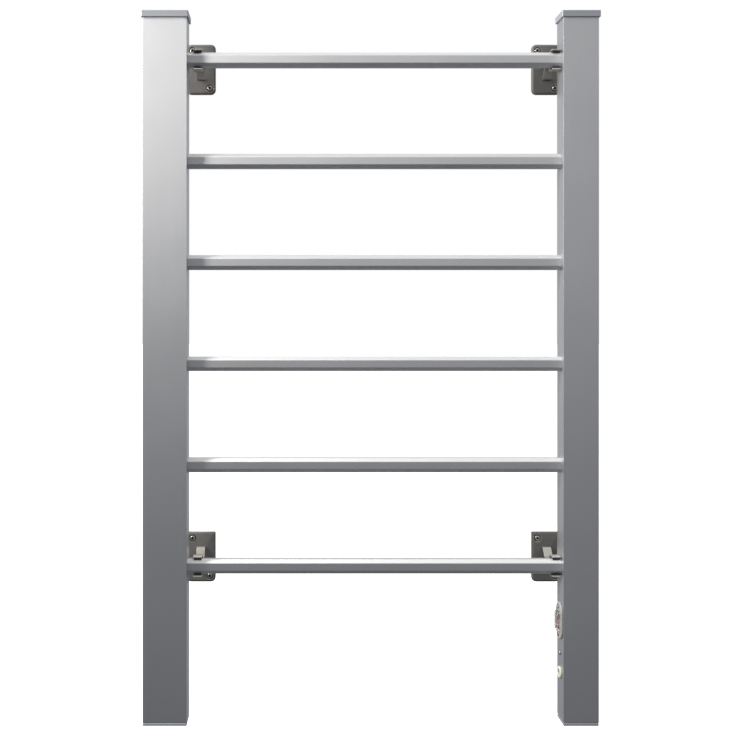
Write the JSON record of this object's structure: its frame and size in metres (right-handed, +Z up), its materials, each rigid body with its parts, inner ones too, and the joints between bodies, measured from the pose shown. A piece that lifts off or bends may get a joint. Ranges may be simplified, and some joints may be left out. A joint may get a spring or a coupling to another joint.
{
  "type": "towel warmer rack",
  "caption": "Wall-hung electric towel warmer: chamfered heated rails between flat posts on clamp brackets, with a rocker switch and cord gland on one post.",
  "frame": {"origin": "on the wall plane, midway across the rack and midway between the upper and lower wall plates", "axes": "+X along the rails to the right as seen from the front, +Y into the wall, +Z up"},
  "size_m": [0.584, 0.065, 0.91],
  "materials": {
    "brushed_aluminium": "fine-brushed, satin anodised",
    "cap_plastic": "satin moulded, aluminium grey",
    "plate_metal": "satin grey coating",
    "clip_steel": "pressed strip, satin nickel",
    "liner_rubber": "matt",
    "screw_steel": "nickel-plated",
    "element_steel": "drawn, dull",
    "bezel_plastic": "satin moulded",
    "switch_black": "matt moulded",
    "boot_clear": "clear silicone",
    "rocker_red": "semi-gloss moulded",
    "gland_plastic": "satin moulded, cream",
    "cable_jacket": "matt jacket"
  },
  "bodies": {
    "rack": {"bezel_screw_1": "screw_steel", "bezel_screw_2": "screw_steel", "bottom_cap_left": "cap_plastic", "bottom_cap_right": "cap_plastic", "cable_gland": "gland_plastic", "clamp_screw_bottom_left": "screw_steel", "clamp_screw_bottom_right": "screw_steel", "clamp_screw_top_left": "screw_steel", "clamp_screw_top_right": "screw_steel", "clip_lower_bottom_left": "clip_steel", "clip_lower_bottom_right": "clip_steel", "clip_lower_top_left": "clip_steel", "clip_lower_top_right": "clip_steel", "clip_upper_bottom_left": "clip_steel", "clip_upper_bottom_right": "clip_steel", "clip_upper_top_left": "clip_steel", "clip_upper_top_right": "clip_steel", "gland_nut": "gland_plastic", "heating_rod_1": "element_steel", "heating_rod_2": "element_steel", "heating_rod_3": "element_steel", "heating_rod_4": "element_steel", "heating_rod_5": "element_steel", "heating_rod_6": "element_steel", "post_left": "brushed_aluminium", "post_right": "brushed_aluminium", "rail_1": "brushed_aluminium", "rail_2": "brushed_aluminium", "rail_3": "brushed_aluminium", "rail_4": "brushed_aluminium", "rail_5": "brushed_aluminium", "rail_6": "brushed_aluminium", "rail_carrier_left": "element_steel", "rail_carrier_right": "element_steel", "rubber_liner_bottom_left": "liner_rubber", "rubber_liner_bottom_right": "liner_rubber", "rubber_liner_top_left": "liner_rubber", "rubber_liner_top_right": "liner_rubber", "switch_bezel": "bezel_plastic", "switch_body": "switch_black", "switch_boot": "boot_clear", "terminal_block": "bezel_plastic", "terminal_screw": "screw_steel", "thermal_cutout": "switch_black", "top_cap_left": "cap_plastic", "top_cap_right": "cap_plastic", "wall_plate_bottom_left": "plate_metal", "wall_plate_bottom_right": "plate_metal", "wall_plate_top_left": "plate_metal", "wall_plate_top_right": "plate_metal", "wall_screw_bottom_left_1": "screw_steel", "wall_screw_bottom_left_2": "screw_steel", "wall_screw_bottom_right_1": "screw_steel", "wall_screw_bottom_right_2": "screw_steel", "wall_screw_top_left_1": "screw_steel", "wall_screw_top_left_2": "screw_steel", "wall_screw_top_right_1": "screw_steel", "wall_screw_top_right_2": "screw_steel", "wiring_harness": "cable_jacket"},
    "rocker": {"switch_rocker": "rocker_red"}
  },
  "joints": [
    {"name": "rocker_tilt", "type": "hinge", "parent": "rack", "child": "rocker", "pos_m": [0.2465, -0.048, -0.395], "axis": [0, 1, 0], "range_deg": [0, 18]}
  ]
}
